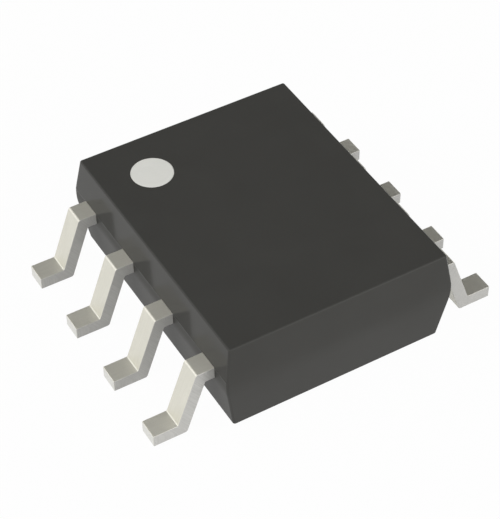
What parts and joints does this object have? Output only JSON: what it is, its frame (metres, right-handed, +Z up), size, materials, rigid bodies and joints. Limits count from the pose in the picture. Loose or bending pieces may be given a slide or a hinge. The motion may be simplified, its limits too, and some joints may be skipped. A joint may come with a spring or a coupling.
{
  "type": "small-outline integrated circuit package",
  "caption": "Surface-mount chip package: a drafted black moulded body with gull-wing leads along both sides, a round pin-one mark on top, and the lead frame, die and bond wires inside.",
  "frame": {"origin": "middle of the package on the seating plane, which the undersides of the eight feet make", "axes": "+Z up out of the marked top face; Y along the lead rows; pin 1 is at -X +Y, and the pins count anticlockwise seen from above"},
  "size_m": [0.006, 0.005, 0.0018],
  "materials": {
    "mould_compound": "black filled epoxy, fine matte grain from the mould",
    "mark_ink": "flat pale grey marking ink",
    "tinned_lead": "matte tin plating over copper alloy, slightly warm grey",
    "plated_copper": "bare copper alloy with a dull satin face",
    "die_adhesive": "cured silver-filled epoxy",
    "silicon": "polished silicon",
    "gold_wire": "bright drawn gold wire"
  },
  "bodies": {
    "root": {"mould_body": "mould_compound", "pin_one_mark": "mark_ink", "lead_1": "tinned_lead", "lead_2": "tinned_lead", "lead_3": "tinned_lead", "lead_4": "tinned_lead", "lead_5": "tinned_lead", "lead_6": "tinned_lead", "lead_7": "tinned_lead", "lead_8": "tinned_lead", "die_pad": "plated_copper", "die_attach": "die_adhesive", "die": "silicon", "bond_wire_1": "gold_wire", "bond_wire_2": "gold_wire", "bond_wire_3": "gold_wire", "bond_wire_4": "gold_wire", "bond_wire_5": "gold_wire", "bond_wire_6": "gold_wire", "bond_wire_7": "gold_wire", "bond_wire_8": "gold_wire"}
  },
  "joints": []
}
